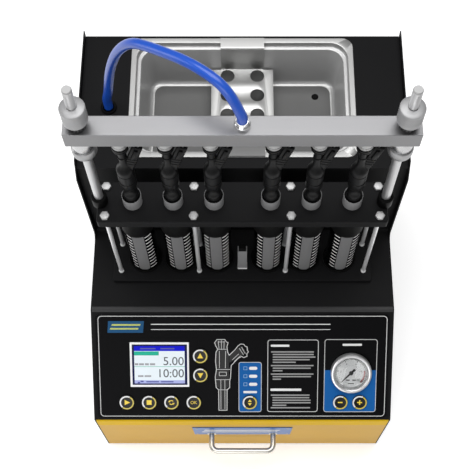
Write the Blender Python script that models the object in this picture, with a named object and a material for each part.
# Fuel injector cleaner and tester, bench model, metres, +Z up, front towards -Y
import bpy
import bmesh
from math import asin, atan2, cos, pi, radians, sin, tan
from mathutils import Matrix, Vector

# Clearances
SEAT_GAP = 0.0003
CUT_OVERRUN = 0.002
WELD_DISTANCE = 0.000002

# Cabinet
CABINET_WIDTH = 0.430
CABINET_DEPTH = 0.4616
CABINET_HEIGHT = 0.4654
SHEET = 0.0015
SLOPE_RISE = 0.0984
LOWER_DECK_HEIGHT = 0.2576
SLOPE_ANGLE = radians(36.0)
SIDE_FRONT_EDGE = 0.2493
SIDE_INNER_CORNER_RADIUS = 0.012
SIDE_CHAMFER_DEPTH = 0.0142
SIDE_CHAMFER_HEIGHT = 0.0274
TOWER_WALL_SETBACK = 0.0105
DECK_RECESS = 0.0125
BEND_RADIUS = 0.009
WALL_BEND_RADIUS = 0.004
PAN_SIDE_HEIGHT = 0.020
SKIRT_DROP = 0.0095
SHELF_ABOVE_TRAY = 0.028
SHELF_FRONT = 0.034
SHELF_SIDE_HEIGHT = 0.012

# Feet
FOOT_HEIGHT = 0.012
FOOT_TOP_RADIUS = 0.014
FOOT_FLOOR_RADIUS = 0.011
FOOT_SIDE_INSET = 0.032
FOOT_END_INSET = 0.036

# Drawer
DRAWER_TOP_GAP = 0.0042
DRAWER_FRONT_RETURN = 0.015
DRAWER_SIDE_GAP = 0.0005
SLIDE_SPACE = 0.0115
DRAWER_REAR_SPACE = 0.1316
DRAWER_TRAY_BOTTOM = 0.009
DRAWER_TRAY_DROP = 0.023
DRAWER_TRAY_WALL = 0.0012
RUNNER_HEIGHT = 0.030
RUNNER_DROP = 0.052
RUNNER_REAR_SPARE = 0.010
RUNNER_START = 0.022
RUNNER_SHEET = 0.0015
SLIDE_END_GAP = 0.001
HANDLE_LEG_SPACING = 0.094
HANDLE_ROD = 0.009
HANDLE_REACH = 0.0317
HANDLE_LEVEL = 0.068
HANDLE_CORNER_RADIUS = 0.010

# Rack on the lower deck
RACK_TOWER_SPACE = 0.0375
RACK_SIDE_SPACE = 0.031
RACK_BASE_FRONT_REACH = 0.0358
RACK_BASE_REAR_REACH = 0.0427
RACK_BASE_THICKNESS = 0.0077
COLUMN_END_INSET = 0.0105
COLUMN_FRONT_INSET = 0.00805
COLUMN_DIAMETER = 0.0065
BOLT_HEAD_WIDTH = 0.0125
BOLT_HEAD_HEIGHT = 0.0045
MANIFOLD_END_STEP = 0.0007
MANIFOLD_DEPTH = 0.0569
MANIFOLD_TOP = 0.4540
MANIFOLD_THICKNESS = 0.0168
MANIFOLD_EDGE_RADIUS = 0.003
TUBE_SPACE = 0.011
TUBE_WALL = 0.0025
TUBE_RING_WALL = 0.00325
TUBE_RING_HEIGHT = 0.0035
TUBE_COLLAR_WALL = 0.0015
TUBE_COLLAR_DROP = 0.049
CUP_DIAMETER = 0.025
CUP_BORE = 0.020
CUP_HEIGHT = 0.020
CUP_FOOT_FLARE = 0.0015
CENTRE_POST_DIAMETER = 0.0148
CENTRE_POST_HEIGHT = 0.074
CENTRE_POST_FOOT = 0.0125
CENTRE_POST_OFFSET = 0.0135
CENTRE_POST_RING = 0.003

# Clamp studs, nuts, rail and knobs
STUD_END_INSET = 0.0038
STUD_DIAMETER = 0.0115
STUD_TOP = 0.723
STUD_TIP_CHAMFER = 0.0015
STUD_SEAT_DEPTH = 0.030
STUD_BOSS_DIAMETER = 0.0205
STUD_BOSS_TOP = 0.472
RAIL_OVERHANG = 0.0165
RAIL_SECTION = 0.0252
RAIL_BOTTOM = 0.6232
RAIL_CORNER = 0.0012
STUD_CLEARANCE = 0.0004
NUT_DIAMETER = 0.029
NUT_HEIGHT = 0.018
NUT_SLEEVE_DIAMETER = 0.025
NUT_SLEEVE_HEIGHT = 0.019
NUT_CHAMFER = 0.004
KNOB_DIAMETER = 0.0285
KNOB_HEIGHT = 0.027
KNOB_NECK_DIAMETER = 0.020
KNOB_NECK_HEIGHT = 0.012
KNURL_DEPTH = 0.0007
KNURL_COUNT = 16
KNURL_CHAMFER = 0.0015
COUPLER_DIAMETER = 0.0187
COUPLER_DROP = 0.0185
COUPLER_LIP = 0.0015

# Injectors
INJECTOR_CAP_DIAMETER = 0.0195
INJECTOR_CAP_HEIGHT = 0.0055
INJECTOR_STEM_DIAMETER = 0.0095
INJECTOR_BODY_TOP = 0.549
INJECTOR_BODY_BOTTOM = 0.502
INJECTOR_BODY_DIAMETER = 0.0215
INJECTOR_WAIST_DIAMETER = 0.0150
INJECTOR_NOZZLE_DIAMETER = 0.0194
INJECTOR_TIP_DIAMETER = 0.0085
INJECTOR_TIP = 0.4585
INJECTOR_SEAL_BAND = 0.010
INJECTOR_STEP = 0.004
PLUG_WIDTH = 0.0135
PLUG_THICKNESS = 0.0115
PLUG_LENGTH = 0.056
PLUG_NEIGHBOUR_SPACE = 0.0333
PLUG_LEAN = radians(8.0)
PLUG_START = 0.538
PLUG_SOCKET_WALL = 0.0016
PLUG_SOCKET_DEPTH = 0.009

# Supply hose and its fittings
HOSE_DIAMETER = 0.012
FITTING_DIAMETER = 0.018
FITTING_HEIGHT = 0.0075
FITTING_SPIGOT_DIAMETER = 0.0135
FITTING_SPIGOT_HEIGHT = 0.003
GROMMET_DIAMETER = 0.021
GROMMET_HOLE = 0.016
GROMMET_BORE = 0.007
GROMMET_LIP = 0.003
GROMMET_SIDE_INSET = 0.0388
GROMMET_REAR_INSET = 0.1126

# Ultrasonic tank, measured at its rim
TANK_SIDE_SPACE = 0.0652
TANK_FRONT_SPACE = 0.0147
TANK_REAR_SPACE = 0.0045
TANK_RIM_WIDTH = 0.0078
TANK_RIM_THICKNESS = 0.0018
TANK_RIM_CORNER = 0.014
TANK_STEP_DROP = 0.0085
TANK_STEP_WIDTH = 0.0042
TANK_STEP_DRAFT = 0.0010
TANK_WALL_DRAFT = 0.006
TANK_FLOOR_DROP = 0.082
TANK_FLOOR_RADIUS = 0.0065
TANK_WALL = 0.0010
TANK_CORNER = 0.024
TANK_FLOOR_CORNER = 0.013
TANK_DRAIN_DIAMETER = 0.009
TANK_DRAIN_SIDE_INSET = 0.0468
TANK_DRAIN_REAR_INSET = 0.0431
DECK_TANK_CLEARANCE = 0.0008
TRANSDUCER_TOP_DIAMETER = 0.046
TRANSDUCER_NECK_DIAMETER = 0.034
TRANSDUCER_BASE_DIAMETER = 0.040
TRANSDUCER_HORN = 0.020
TRANSDUCER_RINGS = 0.014
TRANSDUCER_BASE = 0.016

# Injector tray that hangs in the tank
TRAY_PLATE_WIDTH = 0.086
TRAY_TAB_WIDTH = 0.059
TRAY_SHEET = 0.0015
TRAY_DROP = 0.0500
TRAY_WIDE_HEIGHT = 0.005
TRAY_WALL_GAP = 0.0055
TRAY_BEND = 0.003
TRAY_HOOK_SPARE = 0.001
TRAY_HOLE_DIAMETER = 0.0194
TRAY_HOLE_PITCH = 0.0312
TRAY_HOLE_SPREAD = 0.0412
TRAY_HOLE_EDGE = 0.0005

# Control panel, in the plane of the slope
OVERLAY_SIDE_SPACE = 0.006
OVERLAY_BOTTOM = 0.0035
OVERLAY_TOP_SPACE = 0.0069
OVERLAY_THICKNESS = 0.0008
OVERLAY_CORNER = 0.006
DISPLAY_SIDE_INSET = 0.0477
DISPLAY_WIDTH = 0.0853
DISPLAY_BOTTOM = 0.0504
DISPLAY_HEIGHT = 0.0686
DISPLAY_PROUD = 0.0012
DISPLAY_BODY_DEPTH = 0.0085
DISPLAY_BEZEL = 0.0035
DISPLAY_WINDOW_SINK = 0.0008
BUTTON_DIAMETER = 0.0212
BUTTON_PROUD = 0.0030
BUTTON_RIM = 0.0022
BUTTON_FACE_SINK = 0.0007
BUTTON_DEPTH = 0.0060
BUTTON_CLEARANCE = 0.0003
BUTTON_ROW = 0.0284
BUTTON_ROW_INSET = 0.0422
BUTTON_ROW_PITCH = 0.0322
ARROW_COLUMN_SPACE = 0.0157
ARROW_UP_DROP = 0.0201
ARROW_PITCH = 0.0288
SELECT_COLUMN = 0.0107
PLUS_SIDE_INSET = 0.0398
PLUS_MINUS_PITCH = 0.0280
GAUGE_SIDE_INSET = 0.0533
GAUGE_ROW = 0.0739
GAUGE_BEZEL_DIAMETER = 0.0590
GAUGE_BEZEL_HEIGHT = 0.0095
GAUGE_BEZEL_WALL = 0.0036
GAUGE_BODY_DIAMETER = 0.0530
GAUGE_BODY_DEPTH = 0.024
GAUGE_DIAL_LEVEL = 0.0028
GAUGE_GLASS_THICKNESS = 0.0014
GAUGE_GLASS_LEVEL = 0.0066
GAUGE_LIP = 0.0012
GAUGE_PIN_DIAMETER = 0.0016
GAUGE_PIN_HEIGHT = 0.0020
NEEDLE_HUB_DIAMETER = 0.0062
NEEDLE_LENGTH = 0.0185
NEEDLE_TAIL = 0.0070
NEEDLE_WIDTH = 0.0017
NEEDLE_THICKNESS = 0.0007
NEEDLE_REST_ANGLE = radians(225.0)
BOARD_SIDE_SPACE = 0.025
BOARD_BOTTOM = 0.018
BOARD_TOP_SPACE = 0.0434
BOARD_THICKNESS = 0.0016
BOARD_LEVEL = 0.0115
BOARD_SPACER_DIAMETER = 0.006
BOARD_SPACER_INSET = 0.0052
BOARD_GAUGE_CLEARANCE = 0.0035

# Pieces inside
RESERVOIR_SIDE_SPACE = 0.040
RESERVOIR_PUMP_SPACE = 0.017
RESERVOIR_FRONT = 0.142
RESERVOIR_REAR = 0.246
RESERVOIR_TOP_SPACE = 0.0123
RESERVOIR_WALL = 0.003
RESERVOIR_CORNER = 0.010
PUMP_SIDE_SPACE = 0.095
PUMP_REAR_SPACE = 0.1616
PUMP_DIAMETER = 0.048
PUMP_LENGTH = 0.110
PUMP_HEAD_DIAMETER = 0.056
PUMP_HEAD_LENGTH = 0.030
PUMP_FOOT_WIDTH = 0.044
PUMP_FOOT_LENGTH = 0.070
PUMP_FOOT_HEIGHT = 0.006
PUMP_PORT_DIAMETER = 0.010
PUMP_PORT_LENGTH = 0.014
SUPPLY_SIDE_SPACE = 0.060
SUPPLY_REAR_GAP = 0.030
SUPPLY_WIDTH = 0.130
SUPPLY_DEPTH = 0.098
SUPPLY_HEIGHT = 0.042
SUPPLY_WALL = 0.0012
SUPPLY_SLOT_WIDTH = 0.004
SUPPLY_SLOT_COUNT = 9

# Rear panel
VENT_SLOT_LENGTH = 0.060
VENT_SLOT_HEIGHT = 0.004
VENT_SLOT_PITCH = 0.012
VENT_SLOT_COUNT = 6
VENT_SIDE_SPACE = 0.105
VENT_BOTTOM = 0.300
INLET_SIDE_SPACE = 0.080
INLET_ABOVE_SHELF = 0.045
INLET_FLANGE_WIDTH = 0.050
INLET_FLANGE_HEIGHT = 0.036
INLET_FLANGE_THICKNESS = 0.0025
INLET_BODY_WIDTH = 0.0275
INLET_BODY_HEIGHT = 0.0245
INLET_BODY_DEPTH = 0.022
INLET_SOCKET_WIDTH = 0.0235
INLET_SOCKET_HEIGHT = 0.0165
INLET_SOCKET_DEPTH = 0.016
INLET_PIN_WIDTH = 0.0022
INLET_PIN_HEIGHT = 0.0042
INLET_PIN_PITCH = 0.0068
SWITCH_SPACE = 0.055
SWITCH_WIDTH = 0.021
SWITCH_HEIGHT = 0.0150
SWITCH_REACH = 0.0045
SWITCH_DEPTH = 0.010
SWITCH_CUT_SPARE = 0.0022
SWITCH_TILT = radians(7.0)
SWITCH_RISE = radians(14.0)

# Rounding of circles, as counts
FINE_SIDES = 20
TUBE_SIDES = 16
ROUND_SIDES = 14
SMALL_SIDES = 8
CORNER_STEPS = 4
BEND_STEPS = 4

# Shares of the sizes that they follow
STATION_SHARES = (0.19422, 0.47518, 0.75614)
BODY_COLLAR_SHARE = 0.22
BODY_SHOULDER_SHARE = 0.72
POST_SHOULDER_SHARE = 0.80
POST_TOP_SHARE = 0.62
POST_WAIST_SHARE = 0.45

# Route of the supply hose between its two ends, read off the photograph
HOSE_ROUTE = (
    (-0.1757, 0.3482, 0.4780),
    (-0.1707, 0.3437, 0.5034),
    (-0.1631, 0.3379, 0.5504),
    (-0.1548, 0.3316, 0.5880),
    (-0.1443, 0.3235, 0.6221),
    (-0.1315, 0.3138, 0.6504),
    (-0.1190, 0.3042, 0.6681),
    (-0.1050, 0.2934, 0.6790),
    (-0.0849, 0.2780, 0.6905),
    (-0.0655, 0.2632, 0.6998),
    (-0.0468, 0.2488, 0.7050),
    (-0.0286, 0.2349, 0.7045),
    (-0.0166, 0.2257, 0.6970),
    (-0.0078, 0.2185, 0.6840),
)
HOSE_STEPS = 2

# Sizes worked out from those above
HALF_WIDTH = CABINET_WIDTH / 2
INNER_HALF = HALF_WIDTH - SHEET
FIT_HALF = INNER_HALF - SEAT_GAP
SLOPE_FOOT_HEIGHT = LOWER_DECK_HEIGHT - SLOPE_RISE
SLOPE_RUN = SLOPE_RISE / tan(SLOPE_ANGLE)
SLOPE_LENGTH = SLOPE_RISE / sin(SLOPE_ANGLE)
DRAWER_FRONT_TOP = SLOPE_FOOT_HEIGHT - DRAWER_TOP_GAP
DRAWER_TRAY_TOP = DRAWER_FRONT_TOP - DRAWER_TRAY_DROP
DRAWER_TRAY_WIDTH = (INNER_HALF - SLIDE_SPACE) * 2
DRAWER_TRAY_LENGTH = CABINET_DEPTH - DRAWER_REAR_SPACE
RUNNER_LENGTH = DRAWER_TRAY_LENGTH - RUNNER_REAR_SPARE
RUNNER_LEVEL = DRAWER_TRAY_TOP - RUNNER_DROP
SHELF_HEIGHT = DRAWER_TRAY_TOP + SHELF_ABOVE_TRAY
TOWER_WALL_FRONT = SIDE_FRONT_EDGE + TOWER_WALL_SETBACK
TOP_DECK_HEIGHT = CABINET_HEIGHT - DECK_RECESS
TOP_DECK_UNDERSIDE = TOP_DECK_HEIGHT - SHEET
REAR_FACE = CABINET_DEPTH
REAR_INNER = CABINET_DEPTH - SHEET
FRONT_REACH = HANDLE_REACH
REAR_REACH = SWITCH_REACH
CENTRE_Y = (CABINET_DEPTH + REAR_REACH - FRONT_REACH) / 2
RACK_CENTRE_Y = SIDE_FRONT_EDGE - RACK_TOWER_SPACE
RACK_BASE_WIDTH = (HALF_WIDTH - RACK_SIDE_SPACE) * 2
RACK_BASE_FRONT = RACK_CENTRE_Y - RACK_BASE_FRONT_REACH
RACK_BASE_REAR = RACK_CENTRE_Y + RACK_BASE_REAR_REACH
RACK_BASE_BOTTOM = LOWER_DECK_HEIGHT + SEAT_GAP
RACK_BASE_TOP = RACK_BASE_BOTTOM + RACK_BASE_THICKNESS
MANIFOLD_BOTTOM = MANIFOLD_TOP - MANIFOLD_THICKNESS
MANIFOLD_HALF = RACK_BASE_WIDTH / 2 - MANIFOLD_END_STEP
STATIONS = sorted(side * share * MANIFOLD_HALF for side in (-1, 1) for share in STATION_SHARES)
STATION_PITCH = STATIONS[1] - STATIONS[0]
TUBE_DIAMETER = STATION_PITCH - TUBE_SPACE
TUBE_RING_DIAMETER = TUBE_DIAMETER + TUBE_RING_WALL * 2
COLUMN_OUTER = MANIFOLD_HALF - COLUMN_END_INSET
COLUMN_INNER = (STATIONS[3] + STATIONS[4]) / 2
COLUMN_SIDE = MANIFOLD_DEPTH / 2 - COLUMN_FRONT_INSET
STUD_X = MANIFOLD_HALF - STUD_END_INSET
RAIL_LENGTH = (STUD_X + RAIL_OVERHANG) * 2
PLUG_TILT = asin((STATION_PITCH - PLUG_NEIGHBOUR_SPACE) / PLUG_LENGTH)
RAIL_TOP = RAIL_BOTTOM + RAIL_SECTION
STUD_BORE = STUD_DIAMETER + STUD_CLEARANCE + STUD_CLEARANCE
TANK_RIM_LENGTH = (HALF_WIDTH - TANK_SIDE_SPACE) * 2
TANK_RIM_REAR = CABINET_DEPTH - TANK_REAR_SPACE
TANK_RIM_DEPTH = TANK_RIM_REAR - TOWER_WALL_FRONT - TANK_FRONT_SPACE
TANK_CENTRE_Y = TANK_RIM_REAR - TANK_RIM_DEPTH / 2
TANK_DRAIN_X = TANK_RIM_LENGTH / 2 - TANK_DRAIN_SIDE_INSET
TANK_DRAIN_Y = TANK_RIM_REAR - TANK_DRAIN_REAR_INSET
GROMMET_X = GROMMET_SIDE_INSET - HALF_WIDTH
GROMMET_Y = CABINET_DEPTH - GROMMET_REAR_INSET
TANK_RIM_UNDERSIDE = TOP_DECK_HEIGHT + SEAT_GAP
TANK_RIM_TOP = TANK_RIM_UNDERSIDE + TANK_RIM_THICKNESS
TANK_FLOOR = TANK_RIM_TOP - TANK_FLOOR_DROP
SHELF_TOP = SHELF_HEIGHT + SHEET
FITTING_TOP = RAIL_TOP + SEAT_GAP + FITTING_HEIGHT + FITTING_SPIGOT_HEIGHT
GROMMET_TOP = TOP_DECK_HEIGHT + SEAT_GAP + GROMMET_LIP
OVERLAY_HALF = HALF_WIDTH - OVERLAY_SIDE_SPACE
OVERLAY_TOP = SLOPE_LENGTH - OVERLAY_TOP_SPACE
DISPLAY_LEFT = DISPLAY_SIDE_INSET - OVERLAY_HALF
DISPLAY_RIGHT = DISPLAY_LEFT + DISPLAY_WIDTH
DISPLAY_TOP = DISPLAY_BOTTOM + DISPLAY_HEIGHT
BUTTON_ROW_START = BUTTON_ROW_INSET - OVERLAY_HALF
ARROW_COLUMN = DISPLAY_RIGHT + ARROW_COLUMN_SPACE
ARROW_UP_ROW = DISPLAY_TOP - ARROW_UP_DROP
ARROW_DOWN_ROW = ARROW_UP_ROW - ARROW_PITCH
PLUS_COLUMN = OVERLAY_HALF - PLUS_SIDE_INSET
MINUS_COLUMN = PLUS_COLUMN - PLUS_MINUS_PITCH
GAUGE_X = OVERLAY_HALF - GAUGE_SIDE_INSET
BOARD_HALF = HALF_WIDTH - BOARD_SIDE_SPACE
BOARD_TOP = SLOPE_LENGTH - BOARD_TOP_SPACE
PUMP_X = HALF_WIDTH - PUMP_SIDE_SPACE
PUMP_Y = CABINET_DEPTH - PUMP_REAR_SPACE
RESERVOIR_LEFT = RESERVOIR_SIDE_SPACE - HALF_WIDTH
RESERVOIR_RIGHT = PUMP_X - PUMP_HEAD_DIAMETER / 2 - RESERVOIR_PUMP_SPACE
RESERVOIR_HEIGHT = LOWER_DECK_HEIGHT - SHEET - RESERVOIR_TOP_SPACE - SHELF_TOP - SEAT_GAP
SUPPLY_X = SUPPLY_SIDE_SPACE + SUPPLY_WIDTH / 2 - HALF_WIDTH
VENT_X = HALF_WIDTH - VENT_SIDE_SPACE
INLET_X = INLET_SIDE_SPACE - HALF_WIDTH
INLET_LEVEL = SHELF_HEIGHT + INLET_ABOVE_SHELF
SWITCH_X = INLET_X + SWITCH_SPACE

PALETTE = {
    "black_sheet": ((0.020, 0.020, 0.022), 0.0, 0.45),
    "yellow_sheet": ((0.630, 0.400, 0.060), 0.0, 0.40),
    "chrome": ((0.750, 0.750, 0.760), 1.0, 0.12),
    "aluminium": ((0.560, 0.565, 0.580), 1.0, 0.30),
    "stainless": ((0.520, 0.525, 0.530), 1.0, 0.25),
    "glass": ((0.700, 0.760, 0.780), 0.0, 0.05),
    "black_plastic": ((0.012, 0.012, 0.013), 0.0, 0.38),
    "rubber": ((0.015, 0.015, 0.015), 0.0, 0.80),
    "blue_hose": ((0.020, 0.120, 0.560), 0.0, 0.30),
    "grey_plastic": ((0.150, 0.155, 0.160), 0.0, 0.50),
    "screen": ((0.600, 0.700, 0.800), 0.0, 0.15),
    "dial": ((0.850, 0.850, 0.830), 0.0, 0.50),
    "needle": ((0.010, 0.010, 0.011), 0.0, 0.40),
    "board": ((0.015, 0.120, 0.050), 0.0, 0.50),
    "zinc": ((0.420, 0.430, 0.440), 1.0, 0.35),
    "white_plastic": ((0.620, 0.630, 0.600), 0.0, 0.45),
}

# Scene and collection


def clear_scene():
    for obj in list(bpy.data.objects):
        bpy.data.objects.remove(obj, do_unlink=True)


clear_scene()
parts = bpy.data.collections.new("fuel_injector_tester")
bpy.context.scene.collection.children.link(parts)
workbench = bpy.data.collections.new("workbench")
bpy.context.scene.collection.children.link(workbench)


def material(key):
    found = bpy.data.materials.get(key)
    if found:
        return found
    colour, metallic, roughness = PALETTE[key]
    made = bpy.data.materials.new(key)
    made.use_nodes = True
    shader = made.node_tree.nodes["Principled BSDF"]
    shader.inputs["Base Color"].default_value = (*colour, 1.0)
    shader.inputs["Metallic"].default_value = metallic
    shader.inputs["Roughness"].default_value = roughness
    return made


def empty(name, location, rotation=(0.0, 0.0, 0.0), parent=None):
    obj = bpy.data.objects.new(name, None)
    parts.objects.link(obj)
    obj.location = location
    obj.rotation_euler = rotation
    obj.parent = parent
    return obj


def place(name, mesh, finish, location=(0.0, 0.0, 0.0), rotation=(0.0, 0.0, 0.0), parent=None):
    obj = bpy.data.objects.new(name, mesh)
    mesh.name = name
    mesh.materials.clear()
    own = material(finish).copy()
    own.name = name + "_finish"
    mesh.materials.append(own)
    parts.objects.link(obj)
    obj.location = location
    obj.rotation_euler = rotation
    obj.parent = parent or cabinet
    mesh.shade_smooth()
    mesh.set_sharp_from_angle(angle=radians(35.0))
    return obj


# Shapes


def tidy(bm, name):
    bmesh.ops.remove_doubles(bm, verts=bm.verts, dist=WELD_DISTANCE)
    bmesh.ops.recalc_face_normals(bm, faces=bm.faces)
    if bm.calc_volume(signed=True) < 0:
        bmesh.ops.reverse_faces(bm, faces=bm.faces)
    mesh = bpy.data.meshes.new(name)
    bm.to_mesh(mesh)
    bm.free()
    return mesh


def mesh_of(obj):
    graph = bpy.context.evaluated_depsgraph_get()
    mesh = bpy.data.meshes.new_from_object(obj.evaluated_get(graph))
    bpy.data.objects.remove(obj, do_unlink=True)
    return mesh


def prism(outlines, depth, turn=None):
    """A flat outline with any holes, thickened along its normal from zero."""
    curve = bpy.data.curves.new("outline", "CURVE")
    curve.dimensions = "2D"
    curve.fill_mode = "BOTH"
    curve.extrude = depth / 2
    for points in outlines:
        spline = curve.splines.new("POLY")
        spline.points.add(len(points) - 1)
        for point, (x, y) in zip(spline.points, points):
            point.co = (x, y, 0.0, 1.0)
        spline.use_cyclic_u = True
    obj = bpy.data.objects.new("outline", curve)
    workbench.objects.link(obj)
    bm = bmesh.new()
    bm.from_mesh(mesh_of(obj))
    bmesh.ops.translate(bm, verts=bm.verts, vec=(0.0, 0.0, depth / 2))
    if turn:
        bm.transform(turn)
    return tidy(bm, "prism")


def box(width, depth, height):
    """A block on its base, centred across and along."""
    bm = bmesh.new()
    bmesh.ops.create_cube(bm, size=1.0)
    bmesh.ops.scale(bm, vec=(width, depth, height), verts=bm.verts)
    bmesh.ops.translate(bm, vec=(0.0, 0.0, height / 2), verts=bm.verts)
    return tidy(bm, "box")


def lathe(profile, sides):
    """A profile of radius and height pairs turned about Z. It is closed unless it ends on the axis."""
    bm = bmesh.new()
    verts = [bm.verts.new((r, 0.0, z)) for r, z in profile]
    edges = [bm.edges.new(pair) for pair in zip(verts, verts[1:])]
    if profile[0][0] > 0 or profile[-1][0] > 0:
        edges.append(bm.edges.new((verts[-1], verts[0])))
    bmesh.ops.spin(bm, geom=verts + edges, cent=(0, 0, 0), axis=(0, 0, 1), angle=2 * pi, steps=sides)
    bmesh.ops.remove_doubles(bm, verts=bm.verts, dist=WELD_DISTANCE)
    hubs = [v for v in bm.verts if v.co.to_2d().length < WELD_DISTANCE]
    bmesh.ops.dissolve_verts(bm, verts=hubs)
    return tidy(bm, "lathe")


def cylinder(diameter, height, sides=ROUND_SIDES):
    r = diameter / 2
    return lathe([(0.0, height), (r, height), (r, 0.0), (0.0, 0.0)], sides)


def tube(outer, inner, height, sides=ROUND_SIDES):
    a, b = outer / 2, inner / 2
    return lathe([(a, height), (a, 0.0), (b, 0.0), (b, height)], sides)


def lofted(rings):
    """Rings of as many points each, skinned in order and closed at both ends."""
    bm = bmesh.new()
    rows = [[bm.verts.new(p) for p in ring] for ring in rings]
    for low, high in zip(rows, rows[1:]):
        for i in range(len(low)):
            j = (i + 1) % len(low)
            bm.faces.new((low[i], low[j], high[j], high[i]))
    bm.faces.new(rows[0])
    bm.faces.new(rows[-1])
    return tidy(bm, "lofted")


def moved(mesh, x=0.0, y=0.0, z=0.0, turn=None):
    copy = mesh.copy()
    if turn:
        copy.transform(turn)
    copy.transform(Matrix.Translation((x, y, z)))
    return copy


def boolean(base, tools, operation):
    """Each tool joined to the base mesh, or cut from it, one after another."""
    target = bpy.data.objects.new("target", base)
    workbench.objects.link(target)
    helpers = []
    for tool in tools:
        helper = bpy.data.objects.new("tool", tool)
        helper.hide_render = True
        workbench.objects.link(helper)
        helpers.append(helper)
        step = target.modifiers.new("step", "BOOLEAN")
        step.operation = operation
        step.solver = "EXACT"
        step.object = helper
    mesh = mesh_of(target)
    for helper in helpers:
        bpy.data.objects.remove(helper, do_unlink=True)
    return mesh


def fuse(base, tools):
    return boolean(base, tools, "UNION")


def cut(base, tools):
    return boolean(base, tools, "DIFFERENCE")


def circle(x, y, diameter, sides=ROUND_SIDES):
    r = diameter / 2
    return [(x + r * cos(2 * pi * i / sides), y + r * sin(2 * pi * i / sides)) for i in range(sides)]


def rounded_rectangle(left, right, bottom, top, radius, steps=CORNER_STEPS):
    centres = (
        (right - radius, top - radius, 0.0),
        (left + radius, top - radius, pi / 2),
        (left + radius, bottom + radius, pi),
        (right - radius, bottom + radius, 3 * pi / 2),
    )
    points = []
    for x, y, start in centres:
        for i in range(steps + 1):
            angle = start + i * pi / 2 / steps
            points.append((x + radius * cos(angle), y + radius * sin(angle)))
    return points


def rectangle(left, right, bottom, top):
    return [(left, bottom), (right, bottom), (right, top), (left, top)]


def filleted(path, radii, steps=BEND_STEPS):
    """An open path whose inner corners are rounded, one radius to a corner."""
    points = [Vector(p) for p in path]
    out = [points[0]]
    for before, corner, after, radius in zip(points, points[1:], points[2:], radii):
        a, b = (before - corner).normalized(), (after - corner).normalized()
        half = a.angle(b) / 2
        reach = radius / tan(half)
        centre = corner + (a + b).normalized() * (radius / sin(half))
        start, end = corner + a * reach - centre, corner + b * reach - centre
        angle = atan2(start.x * end.y - start.y * end.x, start.dot(end))
        for i in range(steps + 1):
            turned = start.copy()
            turned.rotate(Matrix.Rotation(angle * i / steps, 2))
            out.append(centre + turned)
    out.append(points[-1])
    return out


def sheet_outline(path, thickness):
    """A closed outline between a path and its copy, thickness to the path's right."""
    offset = []
    for i, point in enumerate(path):
        ahead = (path[min(i + 1, len(path) - 1)] - point).normalized()
        behind = (point - path[max(i - 1, 0)]).normalized()
        ahead, behind = ahead if ahead.length else behind, behind if behind.length else ahead
        normal = Vector((ahead.y + behind.y, -ahead.x - behind.x)).normalized()
        across = Vector((ahead.y, -ahead.x))
        offset.append(point + normal * (thickness / max(normal.dot(across), 0.2)))
    return [tuple(p) for p in path] + [tuple(p) for p in reversed(offset)]


# Turns an outline drawn in depth and height so that its thickness runs along X
ALONG_X = Matrix(((0, 0, 1, 0), (1, 0, 0, 0), (0, 1, 0, 0), (0, 0, 0, 1)))
# Turns an outline drawn across and up so that its thickness runs towards the rear
ALONG_Y = Matrix(((1, 0, 0, 0), (0, 0, 1, 0), (0, 1, 0, 0), (0, 0, 0, 1)))


def mirrored(mesh):
    copy = mesh.copy()
    copy.transform(Matrix.Scale(-1, 4, (1, 0, 0)))
    bm = bmesh.new()
    bm.from_mesh(copy)
    return tidy(bm, "mirrored")


cabinet = empty("cabinet", (0.0, -CENTRE_Y, FOOT_HEIGHT))
panel = empty("panel", (0.0, 0.0, SLOPE_FOOT_HEIGHT), (SLOPE_ANGLE, 0.0, 0.0), cabinet)

# Side panels, one sheet each with a flange folded in round the tower


def side_profile():
    fillet_start = SIDE_FRONT_EDGE - SIDE_INNER_CORNER_RADIUS
    corner = [
        (
            fillet_start + SIDE_INNER_CORNER_RADIUS * sin(pi / 2 * i / CORNER_STEPS),
            LOWER_DECK_HEIGHT + SIDE_INNER_CORNER_RADIUS * (1 - cos(pi / 2 * i / CORNER_STEPS)),
        )
        for i in range(CORNER_STEPS + 1)
    ]
    foot = [(REAR_FACE, -SKIRT_DROP), (0.0, -SKIRT_DROP)]
    low = foot + [(0.0, SLOPE_FOOT_HEIGHT), (SLOPE_RUN, LOWER_DECK_HEIGHT)]
    return low + corner + tower_edge()


def tower_edge():
    chamfer_foot = CABINET_HEIGHT - SIDE_CHAMFER_HEIGHT
    return [
        (SIDE_FRONT_EDGE, chamfer_foot),
        (SIDE_FRONT_EDGE + SIDE_CHAMFER_DEPTH, CABINET_HEIGHT),
        (REAR_FACE, CABINET_HEIGHT),
    ]


def side_panel():
    return prism([side_profile()], SHEET, ALONG_X)


right_side = side_panel()
place("side_panel_right", moved(right_side, x=INNER_HALF), "black_sheet")
place("side_panel_left", mirrored(moved(right_side, x=INNER_HALF)), "black_sheet")

# Base pan with its four rubber feet


def base_pan():
    length = REAR_INNER - SEAT_GAP - DRAWER_FRONT_RETURN - SEAT_GAP
    half = FIT_HALF
    path = [(-half, PAN_SIDE_HEIGHT), (-half, 0.0), (half, 0.0), (half, PAN_SIDE_HEIGHT)]
    bent = [Vector(p) for p in path]
    section = sheet_outline(bent[::-1], SHEET)
    pan = moved(prism([section], length, ALONG_Y), y=DRAWER_FRONT_RETURN + SEAT_GAP)
    foot = lathe([(0.0, SHEET / 2), (FOOT_TOP_RADIUS, SHEET / 2), (FOOT_TOP_RADIUS, 0.0),
                  (FOOT_FLOOR_RADIUS, -FOOT_HEIGHT), (0.0, -FOOT_HEIGHT)], ROUND_SIDES)
    x = HALF_WIDTH - FOOT_SIDE_INSET
    ends = (FOOT_END_INSET, REAR_FACE - FOOT_END_INSET)
    return fuse(pan, [moved(foot, x=side * x, y=end) for side in (-1, 1) for end in ends])


place("base_pan", base_pan(), "black_sheet")

# Front sheet: slope, lower deck and tower wall folded from one piece


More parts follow.
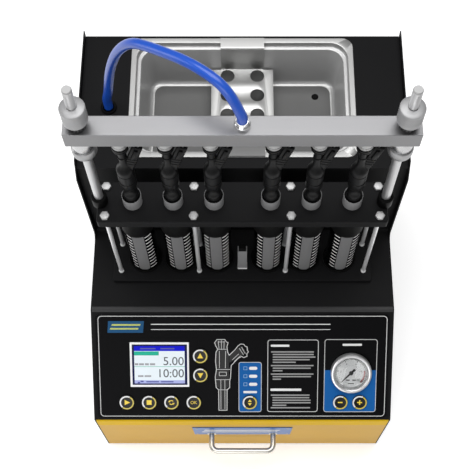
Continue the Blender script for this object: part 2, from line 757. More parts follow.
def panel_cutouts():
    """Cutters for the display, the buttons and the gauge, in the plane of the slope."""
    deep = SHEET + CUT_OVERRUN + CUT_OVERRUN + OVERLAY_THICKNESS + SEAT_GAP
    start = -SHEET - CUT_OVERRUN
    window = rectangle(DISPLAY_LEFT, DISPLAY_RIGHT, DISPLAY_BOTTOM, DISPLAY_TOP)
    grown = grow(window, SEAT_GAP)
    bores = [cylinder(BUTTON_DIAMETER + BUTTON_CLEARANCE * 2, deep, ROUND_SIDES)] * len(BUTTONS)
    cutters = [moved(bore, x=x, y=y, z=start) for bore, (_, x, y) in zip(bores, BUTTONS)]
    cutters.append(moved(prism([grown], deep), z=start))
    body = cylinder(GAUGE_BODY_DIAMETER + SEAT_GAP * 2, deep, FINE_SIDES)
    cutters.append(moved(body, x=GAUGE_X, y=GAUGE_ROW, z=start))
    return cutters


def grow(points, by):
    cx = sum(p[0] for p in points) / len(points)
    cy = sum(p[1] for p in points) / len(points)
    return [(x + (by if x > cx else -by), y + (by if y > cy else -by)) for x, y in points]


BUTTONS = (
    ("button_up", ARROW_COLUMN, ARROW_UP_ROW),
    ("button_down", ARROW_COLUMN, ARROW_DOWN_ROW),
    ("button_start", BUTTON_ROW_START, BUTTON_ROW),
    ("button_stop", BUTTON_ROW_START + BUTTON_ROW_PITCH, BUTTON_ROW),
    ("button_cycle", BUTTON_ROW_START + BUTTON_ROW_PITCH * 2, BUTTON_ROW),
    ("button_confirm", BUTTON_ROW_START + BUTTON_ROW_PITCH * 3, BUTTON_ROW),
    ("button_select", SELECT_COLUMN, BUTTON_ROW),
    ("button_minus", MINUS_COLUMN, BUTTON_ROW),
    ("button_plus", PLUS_COLUMN, BUTTON_ROW),
)
TO_SLOPE = Matrix.Translation((0.0, 0.0, SLOPE_FOOT_HEIGHT)) @ Matrix.Rotation(SLOPE_ANGLE, 4, "X")


def front_sheet():
    top = TOP_DECK_UNDERSIDE - SEAT_GAP
    foot_lip = SEAT_GAP
    path = [
        (foot_lip, SLOPE_FOOT_HEIGHT + foot_lip * tan(SLOPE_ANGLE)),
        (SLOPE_RUN, LOWER_DECK_HEIGHT),
        (TOWER_WALL_FRONT, LOWER_DECK_HEIGHT),
        (TOWER_WALL_FRONT, top),
    ]
    outline = sheet_outline(filleted(path, (BEND_RADIUS, WALL_BEND_RADIUS)), SHEET)
    sheet = moved(prism([outline], FIT_HALF * 2, ALONG_X), x=-FIT_HALF)
    return cut(sheet, [moved(cutter, turn=TO_SLOPE) for cutter in panel_cutouts()])


place("front_sheet", front_sheet(), "black_sheet")

# Top deck with the tank opening and the hose hole


def top_deck():
    front = TOWER_WALL_FRONT
    rear = REAR_INNER - SEAT_GAP
    inset = TANK_RIM_WIDTH - TANK_WALL - DECK_TANK_CLEARANCE
    half = TANK_RIM_LENGTH / 2 - inset
    depth = TANK_RIM_DEPTH / 2 - inset
    opening = rounded_rectangle(
        -half, half, TANK_CENTRE_Y - depth, TANK_CENTRE_Y + depth, TANK_CORNER + TANK_WALL
    )
    edge = rectangle(-FIT_HALF, FIT_HALF, front, rear)
    hole = circle(GROMMET_X, GROMMET_Y, GROMMET_HOLE + SEAT_GAP * 2)
    return moved(prism([edge, opening, hole], SHEET), z=TOP_DECK_UNDERSIDE)


place("top_deck", top_deck(), "black_sheet")

# Rear panel with vent slots and the power opening


def rear_panel():
    edge = rectangle(-FIT_HALF, FIT_HALF, -SKIRT_DROP, TOP_DECK_HEIGHT)
    holes = []
    for side in (-1, 1):
        for i in range(VENT_SLOT_COUNT):
            level = VENT_BOTTOM + VENT_SLOT_PITCH * i
            x = side * VENT_X
            r = VENT_SLOT_HEIGHT / 2
            holes.append(rounded_rectangle(
                x - VENT_SLOT_LENGTH / 2, x + VENT_SLOT_LENGTH / 2, level - r, level + r, r, 1
            ))
    holes.append(opening_for(INLET_X, INLET_BODY_WIDTH, INLET_BODY_HEIGHT))
    holes.append(opening_for(SWITCH_X, SWITCH_WIDTH, SWITCH_HEIGHT + SWITCH_CUT_SPARE))
    return moved(prism([edge] + holes, SHEET, ALONG_Y), y=REAR_INNER)


def opening_for(x, width, height):
    half, rise = width / 2 + SEAT_GAP, height / 2 + SEAT_GAP
    return rectangle(x - half, x + half, INLET_LEVEL - rise, INLET_LEVEL + rise)


place("rear_panel", rear_panel(), "black_sheet")

# Shelf above the drawer that carries the fluid and power units


def inner_shelf():
    half = FIT_HALF
    up = SHELF_HEIGHT + SHELF_SIDE_HEIGHT
    path = [(half, up), (half, SHELF_HEIGHT), (-half, SHELF_HEIGHT), (-half, up)]
    section = sheet_outline([Vector(p) for p in path], SHEET)
    length = REAR_INNER - SEAT_GAP - SHELF_FRONT
    return moved(prism([section], length, ALONG_Y), y=SHELF_FRONT)


place("inner_shelf", inner_shelf(), "zinc")

# Drawer: folded front, tray with slide rails, U handle, fixed runners

drawer = empty("drawer", (0.0, 0.0, 0.0), parent=cabinet)
TRAY_HALF = DRAWER_TRAY_WIDTH / 2
RUNNER_INNER = TRAY_HALF + SLIDE_END_GAP


def drawer_front():
    rear = DRAWER_FRONT_RETURN
    path = [(rear, DRAWER_FRONT_TOP), (0.0, DRAWER_FRONT_TOP), (0.0, -SKIRT_DROP), (rear, -SKIRT_DROP)]
    outline = sheet_outline(filleted(path, (BEND_RADIUS, WALL_BEND_RADIUS))[::-1], SHEET)
    half = INNER_HALF - DRAWER_SIDE_GAP
    return moved(prism([outline], half * 2, ALONG_X), x=-half)


def drawer_tray():
    height = DRAWER_TRAY_TOP - DRAWER_TRAY_BOTTOM
    shell = box(DRAWER_TRAY_WIDTH, DRAWER_TRAY_LENGTH, height)
    inner = DRAWER_TRAY_WALL * 2
    hollow = box(DRAWER_TRAY_WIDTH - inner, DRAWER_TRAY_LENGTH - inner, height)
    body = cut(shell, [moved(hollow, z=DRAWER_TRAY_WALL)])
    reach = FIT_HALF - RUNNER_SHEET - SEAT_GAP - (TRAY_HALF - DRAWER_TRAY_WALL / 2)
    rail_height = RUNNER_HEIGHT - RUNNER_SHEET * 2 - SEAT_GAP * 2
    rail = box(reach, RUNNER_LENGTH - RUNNER_START, rail_height)
    level = RUNNER_LEVEL - rail_height / 2 - DRAWER_TRAY_BOTTOM
    x = TRAY_HALF - DRAWER_TRAY_WALL / 2 + reach / 2
    body = fuse(body, [moved(rail, x=side * x, z=level) for side in (-1, 1)])
    start = SHEET + SEAT_GAP
    return moved(body, y=start + DRAWER_TRAY_LENGTH / 2, z=DRAWER_TRAY_BOTTOM)


def drawer_handle():
    half = HANDLE_LEG_SPACING / 2
    out = -(HANDLE_REACH - HANDLE_ROD / 2)
    path = [(-half, -SEAT_GAP), (-half, out), (half, out), (half, -SEAT_GAP)]
    radius = HANDLE_CORNER_RADIUS
    points = filleted(path, (radius, radius), CORNER_STEPS)
    return swept([(p.x, p.y, HANDLE_LEVEL) for p in points], HANDLE_ROD, 3)


def swept(points, diameter, resolution):
    """A round bar along the points, with flat ends."""
    curve = bpy.data.curves.new("bar", "CURVE")
    curve.dimensions = "3D"
    curve.bevel_depth = diameter / 2
    curve.bevel_resolution = resolution
    curve.use_fill_caps = True
    spline = curve.splines.new("POLY")
    spline.points.add(len(points) - 1)
    for point, co in zip(spline.points, points):
        point.co = (*co, 1.0)
    obj = bpy.data.objects.new("bar", curve)
    workbench.objects.link(obj)
    bm = bmesh.new()
    bm.from_mesh(mesh_of(obj))
    return tidy(bm, "swept")


def drawer_runner():
    depth = FIT_HALF - RUNNER_INNER
    half = RUNNER_HEIGHT / 2
    path = [(-depth, half), (0.0, half), (0.0, -half), (-depth, -half)]
    section = sheet_outline([Vector(p) for p in path], RUNNER_SHEET)
    length = RUNNER_LENGTH
    channel = prism([section], length, ALONG_Y)
    return moved(channel, x=FIT_HALF, y=RUNNER_START, z=RUNNER_LEVEL)


place("drawer_front", drawer_front(), "yellow_sheet", parent=drawer)
place("drawer_tray", drawer_tray(), "black_sheet", parent=drawer)
place("drawer_handle", drawer_handle(), "chrome", parent=drawer)
place("drawer_runner_right", drawer_runner(), "zinc")
place("drawer_runner_left", mirrored(drawer_runner()), "zinc")

# Rack base with its eight columns and the six tube seats

TUBE_RADIUS = TUBE_DIAMETER / 2


def column_places():
    for x in (COLUMN_OUTER, COLUMN_INNER):
        for side in (-1, 1):
            for end in (-1, 1):
                yield side * x, RACK_CENTRE_Y + end * COLUMN_SIDE


def rack_base():
    half = RACK_BASE_WIDTH / 2
    plate = prism([rectangle(-half, half, RACK_BASE_FRONT, RACK_BASE_REAR)], RACK_BASE_THICKNESS)
    plate = moved(plate, z=RACK_BASE_BOTTOM)
    sunk = RACK_BASE_THICKNESS / 2
    height = MANIFOLD_BOTTOM - SEAT_GAP - RACK_BASE_TOP + sunk
    column = cylinder(COLUMN_DIAMETER, height, SMALL_SIDES)
    added = [moved(column, x=x, y=y, z=RACK_BASE_TOP - sunk) for x, y in column_places()]
    bore = TUBE_DIAMETER + SEAT_GAP * 2
    ring = tube(TUBE_RING_DIAMETER, bore, TUBE_RING_HEIGHT + sunk, TUBE_SIDES)
    added += [moved(ring, x=x, y=RACK_CENTRE_Y, z=RACK_BASE_TOP - sunk) for x in STATIONS]
    return fuse(plate, added)


def rack_manifold():
    half, deep = MANIFOLD_HALF, MANIFOLD_DEPTH / 2
    outline = rounded_rectangle(-half, half, RACK_CENTRE_Y - deep, RACK_CENTRE_Y + deep, MANIFOLD_EDGE_RADIUS)
    block = moved(prism([outline], MANIFOLD_THICKNESS), z=MANIFOLD_BOTTOM)
    sunk = BOLT_HEAD_HEIGHT / 2
    start = MANIFOLD_BOTTOM + sunk
    boss = cylinder(STUD_BOSS_DIAMETER, STUD_BOSS_TOP - start)
    added = [moved(boss, x=side * STUD_X, y=RACK_CENTRE_Y, z=start) for side in (-1, 1)]
    head = cylinder(BOLT_HEAD_WIDTH, BOLT_HEAD_HEIGHT + sunk, 6)
    added += [moved(head, x=x, y=y, z=MANIFOLD_TOP - sunk) for x, y in column_places()]
    flare = CUP_DIAMETER / 2 + CUP_FOOT_FLARE
    cup = lathe([
        (0.0, CUP_HEIGHT), (CUP_DIAMETER / 2, CUP_HEIGHT), (CUP_DIAMETER / 2, CUP_FOOT_FLARE), (flare, 0.0),
        (flare, -sunk), (0.0, -sunk),
    ], ROUND_SIDES)
    added += [moved(cup, x=x, y=RACK_CENTRE_Y, z=MANIFOLD_TOP) for x in STATIONS]
    inner = TUBE_DIAMETER + SEAT_GAP * 2
    collar = tube(inner + TUBE_COLLAR_WALL * 2, inner, TUBE_COLLAR_DROP + sunk, TUBE_SIDES)
    added += [moved(collar, x=x, y=RACK_CENTRE_Y, z=MANIFOLD_BOTTOM - TUBE_COLLAR_DROP) for x in STATIONS]
    body = fuse(block, added)
    drilled = STUD_BOSS_TOP - STUD_SEAT_DEPTH
    bore = cylinder(STUD_DIAMETER + SEAT_GAP * 2, STUD_SEAT_DEPTH + CUT_OVERRUN)
    cutters = [moved(bore, x=side * STUD_X, y=RACK_CENTRE_Y, z=drilled) for side in (-1, 1)]
    way = cylinder(CUP_BORE, MANIFOLD_THICKNESS + CUP_HEIGHT + CUT_OVERRUN * 2)
    cutters += [moved(way, x=x, y=RACK_CENTRE_Y, z=MANIFOLD_BOTTOM - CUT_OVERRUN) for x in STATIONS]
    return cut(body, cutters)


place("rack_base", rack_base(), "black_sheet")
place("rack_manifold", rack_manifold(), "black_sheet")

# Measuring tubes


def measuring_tube():
    bottom = RACK_BASE_TOP + SEAT_GAP
    height = MANIFOLD_BOTTOM - SEAT_GAP - bottom
    return moved(tube(TUBE_DIAMETER, TUBE_DIAMETER - TUBE_WALL * 2, height, TUBE_SIDES), z=bottom)


for index, station in enumerate(STATIONS, 1):
    place(f"measuring_tube_{index}", measuring_tube(), "glass", (station, RACK_CENTRE_Y, 0.0))


def centre_post():
    r, foot = CENTRE_POST_DIAMETER / 2, CENTRE_POST_FOOT / 2
    height = CENTRE_POST_HEIGHT
    return lathe([
        (0.0, height), (r * POST_TOP_SHARE, height), (r, height * POST_SHOULDER_SHARE),
        (r, height * POST_WAIST_SHARE), (foot, CENTRE_POST_RING), (r, CENTRE_POST_RING / 2), (r, 0.0), (0.0, 0.0),
    ], ROUND_SIDES)


place("centre_post", centre_post(), "grey_plastic",
      (0.0, RACK_CENTRE_Y - CENTRE_POST_OFFSET, RACK_BASE_TOP + SEAT_GAP))

# Clamp studs, height nuts, rail and knobs


def stud():
    r, tip = STUD_DIAMETER / 2, STUD_DIAMETER / 2 - STUD_TIP_CHAMFER
    bottom = STUD_BOSS_TOP - STUD_SEAT_DEPTH + SEAT_GAP
    top = STUD_TOP
    return lathe([(0.0, top), (tip, top), (r, top - STUD_TIP_CHAMFER), (r, bottom), (0.0, bottom)], ROUND_SIDES)


def knurled(diameter, height):
    """A grip with straight knurls, chamfered at both ends."""
    sides, rings = KNURL_COUNT * 2, []
    for level, inset in ((0.0, KNURL_CHAMFER), (KNURL_CHAMFER, 0.0), (height - KNURL_CHAMFER, 0.0), (height, KNURL_CHAMFER)):
        ring = []
        for i in range(sides):
            r = diameter / 2 - inset - (KNURL_DEPTH if i % 2 else 0.0)
            ring.append((r * cos(2 * pi * i / sides), r * sin(2 * pi * i / sides), level))
        rings.append(ring)
    return lofted(rings)


def height_nut():
    r, sleeve, edge = NUT_DIAMETER / 2, NUT_SLEEVE_DIAMETER / 2, NUT_CHAMFER
    top, height = NUT_HEIGHT + NUT_SLEEVE_HEIGHT - SEAT_GAP, NUT_HEIGHT
    grip = lathe([
        (0.0, top), (sleeve, top), (sleeve, height), (r - edge / 2, height), (r, height - edge / 2), (r, edge),
        (r - edge, 0.0), (0.0, 0.0),
    ], FINE_SIDES)
    return bored(grip, NUT_HEIGHT + NUT_SLEEVE_HEIGHT)


def bored(mesh, height):
    bore = cylinder(STUD_BORE, height + CUT_OVERRUN * 2)
    return cut(mesh, [moved(bore, z=-CUT_OVERRUN)])


def clamp_knob():
    grip = moved(knurled(KNOB_DIAMETER, KNOB_HEIGHT), z=KNOB_NECK_HEIGHT)
    neck = cylinder(KNOB_NECK_DIAMETER, KNOB_NECK_HEIGHT + KNOB_HEIGHT / 2)
    return bored(fuse(grip, [neck]), KNOB_NECK_HEIGHT + KNOB_HEIGHT)


def clamp_rail():
    half, deep = RAIL_LENGTH / 2, RAIL_SECTION / 2
    bar = prism([rounded_rectangle(-deep, deep, 0.0, RAIL_SECTION, RAIL_CORNER, 1)], RAIL_LENGTH, ALONG_X)
    bar = moved(bar, x=-half)
    r, lip, drop = COUPLER_DIAMETER / 2, COUPLER_LIP, COUPLER_DROP
    coupler = lathe([(0.0, RAIL_SECTION / 2), (r, RAIL_SECTION / 2), (r, lip - drop), (r - lip, -drop), (0.0, -drop)],
                    ROUND_SIDES)
    body = fuse(bar, [moved(coupler, x=x) for x in STATIONS])
    bore = cylinder(STUD_BORE, RAIL_SECTION + CUT_OVERRUN * 2)
    return cut(body, [moved(bore, x=side * STUD_X, z=-CUT_OVERRUN) for side in (-1, 1)])


for word, side in (("left", -1), ("right", 1)):
    x = side * STUD_X
    place(f"clamp_stud_{word}", stud(), "chrome", (x, RACK_CENTRE_Y, 0.0))
    level = RAIL_BOTTOM - NUT_SLEEVE_HEIGHT - NUT_HEIGHT
    place(f"height_nut_{word}", height_nut(), "chrome", (x, RACK_CENTRE_Y, level))

clamp = empty("clamp", (0.0, RACK_CENTRE_Y, RAIL_BOTTOM), parent=cabinet)
place("clamp_rail", clamp_rail(), "aluminium", parent=clamp)
for word, side in (("left", -1), ("right", 1)):
    place(f"clamp_knob_{word}", clamp_knob(), "chrome",
          (side * STUD_X, 0.0, RAIL_SECTION + SEAT_GAP), parent=clamp)


def hose_fitting():
    r, spigot, lip = FITTING_DIAMETER / 2, FITTING_SPIGOT_DIAMETER / 2, FITTING_SPIGOT_HEIGHT / 3
    top = FITTING_HEIGHT + FITTING_SPIGOT_HEIGHT
    return lathe([
        (0.0, top), (spigot, top), (spigot, FITTING_HEIGHT), (r - lip, FITTING_HEIGHT), (r, FITTING_HEIGHT - lip),
        (r, 0.0), (0.0, 0.0),
    ], ROUND_SIDES)


place("hose_fitting", hose_fitting(), "chrome", (0.0, 0.0, RAIL_SECTION + SEAT_GAP), parent=clamp)

# Injectors under test, each held between a coupler and a cup


def injector():
    base = RAIL_BOTTOM - COUPLER_DROP - SEAT_GAP
    cap, stem, waist = INJECTOR_CAP_DIAMETER / 2, INJECTOR_STEM_DIAMETER / 2, INJECTOR_WAIST_DIAMETER / 2
    body, nozzle, tip = INJECTOR_BODY_DIAMETER / 2, INJECTOR_NOZZLE_DIAMETER / 2, INJECTOR_TIP_DIAMETER / 2
    top, bottom = INJECTOR_BODY_TOP, INJECTOR_BODY_BOTTOM
    length = top - bottom
    seal = MANIFOLD_TOP + CUP_HEIGHT
    shape = lathe([
        (0.0, base), (cap, base), (cap, base - INJECTOR_CAP_HEIGHT), (stem, base - INJECTOR_CAP_HEIGHT - INJECTOR_STEP),
        (stem, top + INJECTOR_STEP), (body * BODY_SHOULDER_SHARE, top), (body, top - length * BODY_COLLAR_SHARE),
        (body, bottom + INJECTOR_STEP), (waist, bottom), (waist, seal + INJECTOR_STEP * 2),
        (nozzle, seal + INJECTOR_STEP), (nozzle, seal - INJECTOR_SEAL_BAND), (tip, seal - INJECTOR_SEAL_BAND - INJECTOR_STEP / 2),
        (tip, INJECTOR_TIP), (0.0, INJECTOR_TIP),
    ], SMALL_SIDES)
    shape = moved(shape, z=-base)
    plug = box(PLUG_WIDTH, PLUG_THICKNESS, PLUG_LENGTH)
    wall = PLUG_SOCKET_WALL * 2
    socket = box(PLUG_WIDTH - wall, PLUG_THICKNESS - wall, PLUG_SOCKET_DEPTH + CUT_OVERRUN)
    plug = cut(plug, [moved(socket, z=PLUG_LENGTH - PLUG_SOCKET_DEPTH)])
    turn = Matrix.Rotation(PLUG_TILT, 4, "Y") @ Matrix.Rotation(-PLUG_LEAN, 4, "X")
    return fuse(shape, [moved(plug, turn=turn, z=PLUG_START - base)])


for index, station in enumerate(STATIONS, 1):
    place(f"injector_{index}", injector(), "black_plastic", (station, 0.0, -COUPLER_DROP - SEAT_GAP), parent=clamp)

# Ultrasonic tank, a drawn pan with a stepped rim, and its transducer


def tank_ring(inset, level, corner):
    half, deep = TANK_RIM_LENGTH / 2 - inset, TANK_RIM_DEPTH / 2 - inset
    ring = rounded_rectangle(-half, half, -deep, deep, corner)
    return [(x, y, level) for x, y in ring]


def ultrasonic_tank():
    top, under, wall = TANK_RIM_THICKNESS, 0.0, TANK_WALL
    step = TANK_RIM_WIDTH + TANK_STEP_DRAFT
    ledge = step + TANK_STEP_WIDTH
    foot = ledge + TANK_WALL_DRAFT
    floor, radius, corner = top - TANK_FLOOR_DROP, TANK_FLOOR_RADIUS, TANK_CORNER
    down = top - TANK_STEP_DROP
    tight, bend = TANK_FLOOR_CORNER, TANK_FLOOR_CORNER + radius / 2
    rings = [
        tank_ring(foot + radius, floor, tight),
        tank_ring(foot, floor + radius, bend),
        tank_ring(ledge, down, corner - radius / 2),
        tank_ring(step, down, corner),
        tank_ring(TANK_RIM_WIDTH, top, corner),
        tank_ring(0.0, top, TANK_RIM_CORNER),
        tank_ring(0.0, under, TANK_RIM_CORNER),
        tank_ring(TANK_RIM_WIDTH - wall, under, corner),
        tank_ring(step - wall, down - wall, corner),
        tank_ring(ledge - wall, down - wall, corner - radius / 2),
        tank_ring(foot - wall, floor + radius - wall, bend),
        tank_ring(foot + radius - wall, floor - wall, tight),
    ]
    drain = cylinder(TANK_DRAIN_DIAMETER, wall + CUT_OVERRUN * 2, SMALL_SIDES)
    y = TANK_DRAIN_Y - TANK_CENTRE_Y
    return cut(lofted(rings), [moved(drain, x=TANK_DRAIN_X, y=y, z=floor - wall - CUT_OVERRUN)])


place("ultrasonic_tank", ultrasonic_tank(), "stainless", (0.0, TANK_CENTRE_Y, TANK_RIM_UNDERSIDE))


def transducer():
    a, b, c = TRANSDUCER_TOP_DIAMETER / 2, TRANSDUCER_NECK_DIAMETER / 2, TRANSDUCER_BASE_DIAMETER / 2
    neck, rings = -TRANSDUCER_HORN, -TRANSDUCER_HORN - TRANSDUCER_RINGS
    return lathe([
        (0.0, 0.0), (a, 0.0), (b, neck), (b, rings), (c, rings), (c, rings - TRANSDUCER_BASE),
        (0.0, rings - TRANSDUCER_BASE),
    ], ROUND_SIDES)


place("ultrasonic_transducer", transducer(), "aluminium",
      (0.0, TANK_CENTRE_Y, TANK_FLOOR - TANK_WALL - SEAT_GAP))

# Injector tray, one bent strip hooked over the tank's long rims


def injector_tray():
    reach = TANK_RIM_DEPTH / 2
    inner = reach - TANK_RIM_WIDTH - TANK_STEP_DRAFT - TANK_STEP_WIDTH - TRAY_WALL_GAP
    top = TRAY_SHEET + SEAT_GAP
    tip = reach - TRAY_HOOK_SPARE
    low = TRAY_SHEET - TRAY_DROP
    path = [(-tip, top), (-inner, top), (-inner, low), (inner, low), (inner, top), (tip, top)]
    bends = [TRAY_BEND] * 4
    outline = sheet_outline(filleted(path, bends, 3), TRAY_SHEET)
    half = TRAY_PLATE_WIDTH / 2
    strip = moved(prism([outline], TRAY_PLATE_WIDTH, ALONG_X), x=-half)
    side = (TRAY_PLATE_WIDTH - TRAY_TAB_WIDTH) / 2
    notch = box(side + CUT_OVERRUN, tip, TRAY_DROP)
    x = TRAY_TAB_WIDTH / 2 + (side + CUT_OVERRUN) / 2
    level = low + TRAY_WIDE_HEIGHT
    cutters = [moved(notch, x=s * x, y=e * (inner - TRAY_BEND * 2 + tip / 2), z=level) for s in (-1, 1) for e in (-1, 1)]
    hole = cylinder(TRAY_HOLE_DIAMETER, TRAY_SHEET + CUT_OVERRUN * 2, SMALL_SIDES)
    gaps = int((inner * 2 - TRAY_HOLE_DIAMETER - TRAY_HOLE_EDGE * 2) / TRAY_HOLE_PITCH)
    for i in range(gaps + 1):
        y = TRAY_HOLE_PITCH * (i - gaps / 2)
        cutters += [moved(hole, x=s * TRAY_HOLE_SPREAD / 2, y=y, z=low - TRAY_SHEET - CUT_OVERRUN) for s in (-1, 1)]
    return cut(strip, cutters)


place("tank_tray", injector_tray(), "stainless", (0.0, TANK_CENTRE_Y, TANK_RIM_TOP))

# Supply hose, its grommet and its route


def hose_points():
    start = Vector((GROMMET_X, GROMMET_Y, GROMMET_TOP + SEAT_GAP))
    end = Vector((0.0, RACK_CENTRE_Y, FITTING_TOP + SEAT_GAP))
    lead = Vector((0.0, 0.0, HOSE_DIAMETER / 2))
    route = [start + lead] + [Vector(p) for p in HOSE_ROUTE] + [end + lead]
    padded = [start] + route + [end]
    points = [start]
    for a, b, c, d in zip(padded, padded[1:], padded[2:], padded[3:]):
        for i in range(HOSE_STEPS):
            t = i / HOSE_STEPS
            points.append(
                ((b * 2) + (c - a) * t + (a * 2 - b * 5 + c * 4 - d) * t**2 + (b * 3 - a - c * 3 + d) * t**3) / 2
            )
    return points + [end + lead, end]


def supply_hose():
    curve = bpy.data.curves.new("supply_hose", "CURVE")
    curve.dimensions = "3D"
    curve.bevel_depth = HOSE_DIAMETER / 2
    curve.bevel_resolution = 2
    curve.use_fill_caps = True
    points = hose_points()
    spline = curve.splines.new("POLY")
    spline.points.add(len(points) - 1)
    for point, co in zip(spline.points, points):
        point.co = (*co, 1.0)
    curve.materials.append(material("blue_hose"))
    obj = bpy.data.objects.new("supply_hose", curve)
    parts.objects.link(obj)
    obj.parent = cabinet


supply_hose()


def hose_grommet():
    lip, hole, bore = GROMMET_DIAMETER / 2, GROMMET_HOLE / 2, GROMMET_BORE / 2
    top = SEAT_GAP + GROMMET_LIP
    bottom = -SHEET - SEAT_GAP
    edge = GROMMET_LIP / 3
    return lathe([
        (lip - edge, top), (lip, top - edge), (lip, SEAT_GAP), (hole, SEAT_GAP), (hole, bottom), (lip, bottom),
        (lip - edge, bottom - GROMMET_LIP), (bore, bottom - GROMMET_LIP), (bore, top),
    ], ROUND_SIDES)


place("hose_grommet", hose_grommet(), "rubber", (GROMMET_X, GROMMET_Y, TOP_DECK_HEIGHT))

# Control panel: printed overlay, display, buttons and pressure gauge


def overlay():
    half = OVERLAY_HALF
    outline = rounded_rectangle(-half, half, OVERLAY_BOTTOM, OVERLAY_TOP, OVERLAY_CORNER)
    sheet = moved(prism([outline], OVERLAY_THICKNESS), z=SEAT_GAP)
    return cut(sheet, panel_cutouts())


def display_module():
    bottom, top = -DISPLAY_BODY_DEPTH, SEAT_GAP + OVERLAY_THICKNESS + DISPLAY_PROUD
    frame = rectangle(DISPLAY_LEFT, DISPLAY_RIGHT, DISPLAY_BOTTOM, DISPLAY_TOP)
    body = moved(prism([frame], top - bottom), z=bottom)
    window = prism([grow(frame, -DISPLAY_BEZEL)], DISPLAY_WINDOW_SINK + CUT_OVERRUN)
    return cut(body, [moved(window, z=top - DISPLAY_WINDOW_SINK)])


def push_button():
    r, rim = BUTTON_DIAMETER / 2, BUTTON_DIAMETER / 2 - BUTTON_RIM
    top = SEAT_GAP + OVERLAY_THICKNESS + BUTTON_PROUD
    return lathe([
        (0.0, top - BUTTON_FACE_SINK), (rim, top - BUTTON_FACE_SINK), (rim + BUTTON_FACE_SINK, top),
        (r - BUTTON_FACE_SINK, top), (r, top - BUTTON_FACE_SINK), (r, -BUTTON_DEPTH), (0.0, -BUTTON_DEPTH),
    ], ROUND_SIDES)


def gauge_case():
    rim, body = GAUGE_BEZEL_DIAMETER / 2, GAUGE_BODY_DIAMETER / 2
    base = SEAT_GAP + OVERLAY_THICKNESS + SEAT_GAP
    top = base + GAUGE_BEZEL_HEIGHT
    glass = base + GAUGE_GLASS_LEVEL - SEAT_GAP
    bore = rim - GAUGE_BEZEL_WALL
    dial = base + GAUGE_DIAL_LEVEL
    pin = GAUGE_PIN_DIAMETER / 2
    return lathe([
        (0.0, dial + GAUGE_PIN_HEIGHT), (pin, dial + GAUGE_PIN_HEIGHT), (pin, dial), (bore - GAUGE_LIP, dial),
        (bore - GAUGE_LIP, glass), (bore, glass), (bore, top - GAUGE_LIP), (bore + GAUGE_LIP, top),
        (rim - GAUGE_LIP, top), (rim, top - GAUGE_LIP), (rim, base), (body, base), (body, -GAUGE_BODY_DEPTH),
        (0.0, -GAUGE_BODY_DEPTH),
    ], FINE_SIDES)


def gauge_glass():
    diameter = GAUGE_BEZEL_DIAMETER - GAUGE_BEZEL_WALL * 2 - SEAT_GAP * 2
    return cylinder(diameter, GAUGE_GLASS_THICKNESS, FINE_SIDES)


def gauge_needle():
    half, hub = NEEDLE_WIDTH / 2, NEEDLE_HUB_DIAMETER / 2
    outline = [
        (-NEEDLE_TAIL, -half), (0.0, -half), (NEEDLE_LENGTH, -half / 3), (NEEDLE_LENGTH, half / 3), (0.0, half),
        (-NEEDLE_TAIL, half),
    ]
    blade = prism([outline], NEEDLE_THICKNESS)
    disc = fuse(cylinder(hub * 2, NEEDLE_THICKNESS * 2, SMALL_SIDES), [blade])
    bore = cylinder(GAUGE_PIN_DIAMETER + SEAT_GAP * 2, NEEDLE_THICKNESS * 2 + CUT_OVERRUN * 2, SMALL_SIDES)
    return cut(disc, [moved(bore, z=-CUT_OVERRUN)])


place("control_overlay", overlay(), "black_plastic", parent=panel)
place("display_module", display_module(), "screen", parent=panel)
for name, x, y in BUTTONS:
    place(name, push_button(), "aluminium", (x, y, 0.0), parent=panel)
place("gauge_case", gauge_case(), "chrome", (GAUGE_X, GAUGE_ROW, 0.0), parent=panel)
GAUGE_BASE = SEAT_GAP + OVERLAY_THICKNESS + SEAT_GAP
place("gauge_glass", gauge_glass(), "glass", (GAUGE_X, GAUGE_ROW, GAUGE_BASE + GAUGE_GLASS_LEVEL), parent=panel)
place("gauge_needle", gauge_needle(), "needle", (GAUGE_X, GAUGE_ROW, GAUGE_BASE + GAUGE_DIAL_LEVEL + SEAT_GAP),
      (0.0, 0.0, NEEDLE_REST_ANGLE), panel)


def control_board():
    level = -BOARD_LEVEL - BOARD_THICKNESS
    plate = prism([rectangle(-BOARD_HALF, BOARD_HALF, BOARD_BOTTOM, BOARD_TOP)], BOARD_THICKNESS)
    height = BOARD_LEVEL - SHEET - SEAT_GAP + BOARD_THICKNESS / 2
    spacer = cylinder(BOARD_SPACER_DIAMETER, height, SMALL_SIDES)
    inset = BOARD_SPACER_INSET
    places = [(x, y) for x in (inset - BOARD_HALF, BOARD_HALF - inset) for y in (BOARD_BOTTOM + inset, BOARD_TOP - inset)]
    board = fuse(plate, [moved(spacer, x=x, y=y, z=BOARD_THICKNESS / 2) for x, y in places])
    hole = cylinder(GAUGE_BODY_DIAMETER + BOARD_GAUGE_CLEARANCE * 2, BOARD_THICKNESS + CUT_OVERRUN * 2, FINE_SIDES)
    return moved(cut(board, [moved(hole, x=GAUGE_X, y=GAUGE_ROW, z=-CUT_OVERRUN)]), z=level)


place("control_board", control_board(), "board", parent=panel)

# Fluid tank, pump and power supply on the inner shelf


def fluid_reservoir():
    half, depth, r = (RESERVOIR_RIGHT - RESERVOIR_LEFT) / 2, RESERVOIR_REAR - RESERVOIR_FRONT, RESERVOIR_CORNER
    wall = RESERVOIR_WALL
    outline = rounded_rectangle(-half, half, 0.0, depth, r, 3)
    inner = rounded_rectangle(wall - half, half - wall, wall, depth - wall, r - wall, 3)
    body = prism([outline], RESERVOIR_HEIGHT)
    return cut(body, [moved(prism([inner], RESERVOIR_HEIGHT), z=wall)])


place("fluid_reservoir", fluid_reservoir(), "white_plastic",
      ((RESERVOIR_LEFT + RESERVOIR_RIGHT) / 2, RESERVOIR_FRONT, SHELF_TOP + SEAT_GAP))


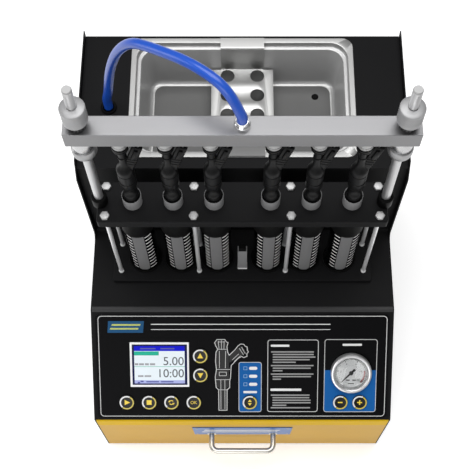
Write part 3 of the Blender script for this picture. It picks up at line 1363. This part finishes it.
def fluid_pump():
    r, head = PUMP_DIAMETER / 2, PUMP_HEAD_DIAMETER / 2
    axis = PUMP_FOOT_HEIGHT / 2 + head
    motor = lathe([
        (0.0, PUMP_LENGTH), (head, PUMP_LENGTH), (head, PUMP_LENGTH - PUMP_HEAD_LENGTH),
        (r, PUMP_LENGTH - PUMP_HEAD_LENGTH), (r, 0.0), (0.0, 0.0),
    ], ROUND_SIDES)
    lay = Matrix.Rotation(-pi / 2, 4, "X")
    body = moved(motor, turn=lay, y=-PUMP_LENGTH / 2, z=axis)
    foot = box(PUMP_FOOT_WIDTH, PUMP_FOOT_LENGTH, axis - r / 2)
    foot = moved(foot, y=PUMP_LENGTH / 2 - PUMP_FOOT_LENGTH)
    port = cylinder(PUMP_PORT_DIAMETER, head + PUMP_PORT_LENGTH, SMALL_SIDES)
    place_y = PUMP_LENGTH / 2 - PUMP_HEAD_LENGTH / 2
    return fuse(body, [foot, moved(port, y=place_y, z=axis)])


place("fluid_pump", fluid_pump(), "zinc", (PUMP_X, PUMP_Y, SHELF_TOP + SEAT_GAP))


def power_supply():
    wall = SUPPLY_WALL
    shell = box(SUPPLY_WIDTH, SUPPLY_DEPTH, SUPPLY_HEIGHT)
    hollow = box(SUPPLY_WIDTH - wall * 2, SUPPLY_DEPTH - wall * 2, SUPPLY_HEIGHT - wall * 2)
    cutters = [moved(hollow, z=wall)]
    slot = box(SUPPLY_SLOT_WIDTH, SUPPLY_DEPTH / 2, wall + CUT_OVERRUN * 2)
    for i in range(SUPPLY_SLOT_COUNT):
        x = SUPPLY_SLOT_WIDTH * 3 * (i - (SUPPLY_SLOT_COUNT - 1) / 2)
        cutters.append(moved(slot, x=x, z=SUPPLY_HEIGHT - wall - CUT_OVERRUN))
    return cut(shell, cutters)


place("power_supply", power_supply(), "zinc",
      (SUPPLY_X, REAR_INNER - SUPPLY_REAR_GAP - SUPPLY_DEPTH / 2, SHELF_TOP + SEAT_GAP))

# Power inlet and rocker switch in the rear panel


def upright(width, height, depth):
    """A block with its front face on the plane Y = 0 and its middle at mid height."""
    return moved(box(width, depth, height), y=depth / 2, z=-height / 2)


def power_inlet():
    flange = moved(upright(INLET_FLANGE_WIDTH, INLET_FLANGE_HEIGHT, INLET_FLANGE_THICKNESS), y=SHEET + SEAT_GAP)
    depth = INLET_BODY_DEPTH
    out = SHEET + SEAT_GAP + INLET_FLANGE_THICKNESS
    body = moved(upright(INLET_BODY_WIDTH, INLET_BODY_HEIGHT, depth), y=out - depth)
    socket = moved(upright(INLET_SOCKET_WIDTH, INLET_SOCKET_HEIGHT, INLET_SOCKET_DEPTH + CUT_OVERRUN),
                   y=out - INLET_SOCKET_DEPTH)
    hollow = cut(fuse(flange, [body]), [socket])
    pin = moved(upright(INLET_PIN_WIDTH, INLET_PIN_HEIGHT, INLET_SOCKET_DEPTH), y=out - INLET_SOCKET_DEPTH - INLET_PIN_WIDTH)
    return fuse(hollow, [moved(pin, x=INLET_PIN_PITCH * i) for i in (-1, 0, 1)])


def rocker_switch():
    half, depth = SWITCH_HEIGHT / 2, SWITCH_DEPTH
    crest = SWITCH_REACH + SHEET
    middle = crest - half * tan(SWITCH_RISE + SWITCH_TILT)
    low = middle + half * tan(SWITCH_RISE - SWITCH_TILT)
    outline = [
        (-depth, half / 2), (-depth, -half / 2), (0.0, -half), (low, -half), (middle, 0.0), (crest, half), (0.0, half),
    ]
    return moved(prism([outline], SWITCH_WIDTH - SEAT_GAP, ALONG_X), x=-(SWITCH_WIDTH - SEAT_GAP) / 2)


place("power_inlet", power_inlet(), "black_plastic", (INLET_X, REAR_INNER, INLET_LEVEL))
place("rocker_switch", rocker_switch(), "black_plastic", (SWITCH_X, REAR_INNER, INLET_LEVEL))
